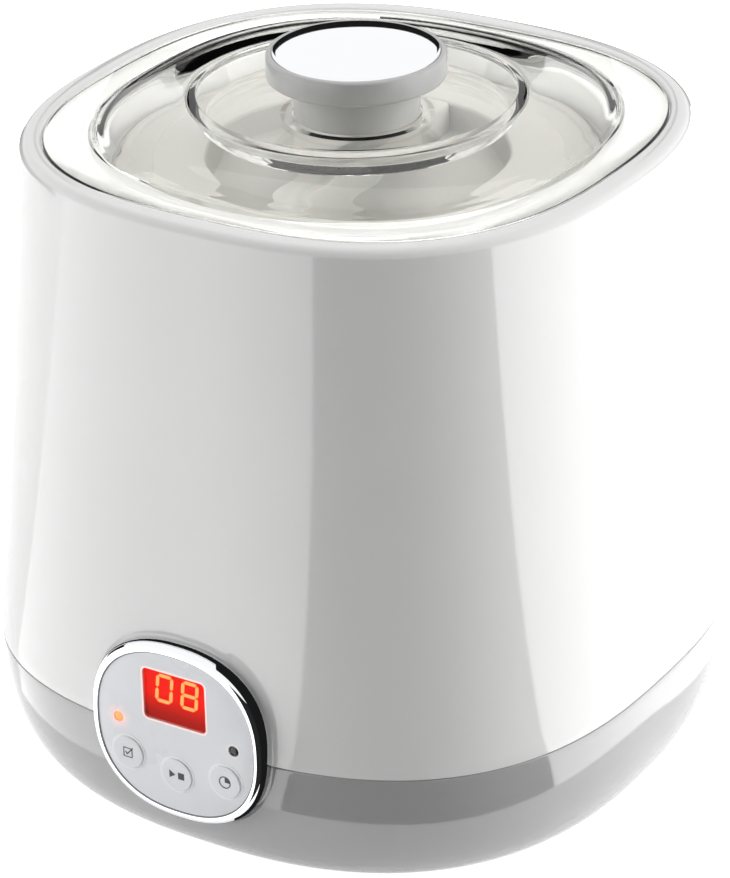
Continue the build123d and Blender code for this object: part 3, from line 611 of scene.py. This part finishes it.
bars = {
    "a": (-HALF_W, HALF_H, HALF_W, HALF_H),
    "b": (HALF_W, 0, HALF_W, HALF_H),
    "c": (HALF_W, -HALF_H, HALF_W, 0),
    "d": (-HALF_W, -HALF_H, HALF_W, -HALF_H),
    "e": (-HALF_W, -HALF_H, -HALF_W, 0),
    "f": (-HALF_W, 0, -HALF_W, HALF_H),
    "g": (-HALF_W, 0, HALF_W, 0),
}
for side, centre, digit in (("left", -2.9, "0"), ("right", 3.9, "8")):
    for key in DIGITS[digit]:
        digit_bar(f"digit_{side}_{key}", *bars[key], centre)

# ---- jar and its cover -------------------------------------------------------------------------
jar = turned("jar_body", [
    (0, 33.3, 0), (47, 33.3, 0), (50, 34.0, 2), (54.6, 40.3, 5), (54.6, 130, 2), (52.6, 133, 2),
    (52.6, 147.9, 0.8), (50.6, 147.9, 0.8), (50.6, 132, 2), (52.6, 129, 2), (52.6, 40.7, 5), (48.5, 36.2, 3),
    (46, 35.7, 0), (0, 35.7, 0),
], count=160)
wear(jar, slot_looks["jar_glass"], "jar", "jar_glass", "jar")

cover_profile = [
    (0, 141.7, 0), (36, 141.7, 2), (36, 148.7, 0.3), (52.9, 148.7, 0.3), (52.9, 135.5, 0.3),
    (55.3, 135.5, 0.5), (55.3, 150.7, 1.4), (52.5, 150.7, 0.6), (52.0, 150.2, 0.5), (47.0, 150.2, 0.5),
    (46.5, 150.7, 0.5),
    (34.6, 150.7, 1.0), (33.6, 143.7, 1.0), (0, 143.7, 0),
]
cover = turned("cover_body", cover_profile, count=160)
wear(cover, slot_looks["cover_plastic"], "cover", "cover_plastic", "jar_cover")
bar_shape = rounded_rectangle(4.3, 34.3, 1.0, 4)
bar = loft("cover_grip", [(0.6, 143.0, 0), (0.0, 149.9, 0), (-0.25, 150.45, 0), (-0.7, 150.7, 0)],
           outline=lambda a: [(x + a * (1 if x > 0 else -1), y) for x, y in bar_shape])
wear(bar, slot_looks["cover_plastic"], "cover", "cover_plastic")

# ---- floor, lights and camera ------------------------------------------------------------------
floor_mesh = bpy.data.meshes.new("floor")
floor_mesh.from_pydata([(-3, -3, 0), (3, -3, 0), (3, 3, 0), (-3, 3, 0)], [], [(0, 1, 2, 3)])
floor = bpy.data.objects.new("floor", floor_mesh)
bpy.context.scene.collection.objects.link(floor)
floor_white = material("floor_white", (0.90, 0.90, 0.90), 0.6, grain=0.1, Emission_Color=(1, 1, 1, 1))
ray = floor_white.node_tree.nodes.new("ShaderNodeLightPath")
seen_as = floor_white.node_tree.nodes.new("ShaderNodeMath")
seen_as.operation = "MULTIPLY_ADD"
seen_as.inputs[1].default_value = 0.5
floor_white.node_tree.links.new(ray.outputs["Is Glossy Ray"], seen_as.inputs[0])
floor_white.node_tree.links.new(ray.outputs["Is Camera Ray"], seen_as.inputs[2])
floor_white.node_tree.links.new(seen_as.outputs["Value"],
                                floor_white.node_tree.nodes["Principled BSDF"].inputs["Emission Strength"])
floor.data.materials.append(floor_white)


def aim(obj, at):
    obj.rotation_euler = (Vector(at) - obj.location).to_track_quat("-Z", "Y").to_euler()


def softbox(name, azimuth, elevation, distance, width, height, power, at=(0, 0, 0.09)):
    """A rectangular soft light. Azimuth 0 is in front of the panel, and grows to the right."""
    light = bpy.data.lights.new(name, "AREA")
    light.shape, light.size, light.size_y, light.energy = "RECTANGLE", width, height, power
    obj = bpy.data.objects.new(name, light)
    bpy.context.scene.collection.objects.link(obj)
    az, el = math.radians(azimuth), math.radians(elevation)
    obj.location = Vector(at) + distance * Vector(
        (math.sin(az) * math.cos(el), -math.cos(az) * math.cos(el), math.sin(el)))
    aim(obj, at)
    obj.visible_glossy = False
    return obj


softbox("key_right", 118, 24, 1.5, 1.0, 1.3, 19.5)
softbox("key_left", -56, 18, 1.5, 0.9, 1.3, 14.5)
softbox("top_light", 200, 72, 1.6, 1.5, 1.2, 9.0)


def dark_or_bright(name, points, glow, through=False):
    """A card built from pairs of (low, high) points, that glossy surfaces see and the camera doesn't."""
    faces = [(2 * i, 2 * i + 2, 2 * i + 3, 2 * i + 1) for i in range(len(points) // 2 - 1)]
    obj = make_object(name, points, faces)
    mat = bpy.data.materials.new(name)
    mat.use_nodes = True
    nodes, links = mat.node_tree.nodes, mat.node_tree.links
    nodes.remove(nodes["Principled BSDF"])
    light = nodes.new("ShaderNodeEmission")
    light.inputs["Strength"].default_value = glow
    links.new(light.outputs["Emission"], nodes["Material Output"].inputs["Surface"])
    obj.data.materials.append(mat)
    obj.visible_camera = obj.visible_diffuse = obj.visible_shadow = obj.visible_volume_scatter = False
    obj.visible_transmission = through


def arc_card(name, azimuths, low, high, glow, steps=24):
    """An upright arc round the object. Low and high are (radius, height)."""
    points = []
    for i in range(steps + 1):
        az = math.radians(azimuths[0] + (azimuths[1] - azimuths[0]) * i / steps)
        points += [(r * math.sin(az), -r * math.cos(az), z) for r, z in (low, high)]
    dark_or_bright(name, points, glow)


NEAR, FAR = (106, 1), (300, 150)
DARK_FROM, DARK_TO = 8.5, 74
arc_card("card_right", (DARK_TO, 175), NEAR, FAR, 2.5)
arc_card("card_left", (-60, DARK_FROM), NEAR, FAR, 1.8)
arc_card("card_far_left", (-150, -115), NEAR, FAR, 2.6)
arc_card("flag_front", (DARK_FROM + 0.5, DARK_TO - 0.5), NEAR, FAR, 0.02)

# Behind, a low dark screen, which the far side of the lid shows as a dark line. In its middle it rises to
# both sides of a round cut, so that the polished cap shows it as a crescent. Tilts are seen from the cap.
BACK, BACK_RADIUS, CAP_TOP = 212, 600, 176
SCREEN_TILT, CUT_TILT, CUT_RISE, CUT_REACH = 6.0, 8.0, 12.5, 10.2
screen = []
for i in range(-150, 151):
    away = i / 2
    tilt = CUT_TILT + CUT_RISE * abs(away / CUT_REACH) ** 2.3 if abs(away) <= 11 else SCREEN_TILT
    az = math.radians(BACK + away)
    height = CAP_TOP + BACK_RADIUS * math.tan(math.radians(tilt))
    screen += [(BACK_RADIUS * math.sin(az), -BACK_RADIUS * math.cos(az), z) for z in (0, height)]
dark_or_bright("screen_back", screen, 0.01, through=True)

# A narrow dark strip round the panel, which its bezel shows as a dark band: a wide one at the right.
STRIP_OUT, STRIP_BACK, WIDE_FRONT, THIN_FRONT = 3, 5, 0.2, 2.2
strip = []
for i in range(-40, 141):
    t = math.radians(2 * i)
    front = WIDE_FRONT if abs(i - 2) < 30 else THIN_FRONT
    reach = (abs(math.cos(t)) ** PANEL_POWER + abs(math.sin(t)) ** PANEL_POWER) ** (-1 / PANEL_POWER)
    x = (FACE_X + STRIP_OUT) * reach * math.cos(t)
    z = PANEL_HEIGHT + (FACE_Y + STRIP_OUT) * reach * math.sin(t)
    strip += [(x, PANEL_FRONT + STRIP_BACK, z), (x, PANEL_FRONT + front, z)]
dark_or_bright("strip_panel", strip, 0.01)

world = bpy.data.worlds.new("studio")
bpy.context.scene.world = world
world.use_nodes = True
sky = world.node_tree
seen = sky.nodes["Background"]
seen.inputs["Color"].default_value = (1, 1, 1, 1)
seen.inputs["Strength"].default_value = 1.0
ambient = sky.nodes.new("ShaderNodeBackground")
ambient.inputs["Color"].default_value = (1, 1, 1, 1)
ambient.inputs["Strength"].default_value = 0.12
ray = sky.nodes.new("ShaderNodeLightPath")
choose = sky.nodes.new("ShaderNodeMixShader")
sky.links.new(ray.outputs["Is Diffuse Ray"], choose.inputs["Fac"])
sky.links.new(seen.outputs["Background"], choose.inputs[1])
sky.links.new(ambient.outputs["Background"], choose.inputs[2])
sky.links.new(choose.outputs["Shader"], sky.nodes["World Output"].inputs["Surface"])

AZIMUTH, ELEVATION, ROLL = math.radians(32.04), math.radians(27.13), math.radians(-1.235)
DISTANCE, LOOK_AT = 0.9095, Vector((0, 0, 0.0673))
toward = Vector((math.sin(AZIMUTH) * math.cos(ELEVATION), -math.cos(AZIMUTH) * math.cos(ELEVATION),
                 math.sin(ELEVATION)))
right = Vector((0, 0, 1)).cross(toward).normalized()
up = toward.cross(right)
x_axis = math.cos(ROLL) * right + math.sin(ROLL) * up
y_axis = math.cos(ROLL) * up - math.sin(ROLL) * right
lens = bpy.data.cameras.new("camera")
lens.lens, lens.sensor_width = 156.57, 36.0
lens.shift_x, lens.shift_y = -0.0003, 0.0447
lens.clip_start, lens.clip_end = 0.02, 20.0
camera = bpy.data.objects.new("camera", lens)
bpy.context.scene.collection.objects.link(camera)
camera.matrix_world = Matrix((x_axis, y_axis, toward)).transposed().to_4x4()
camera.location = LOOK_AT + DISTANCE * toward
bpy.context.scene.camera = camera
bpy.context.scene.view_settings.view_transform = "Standard"
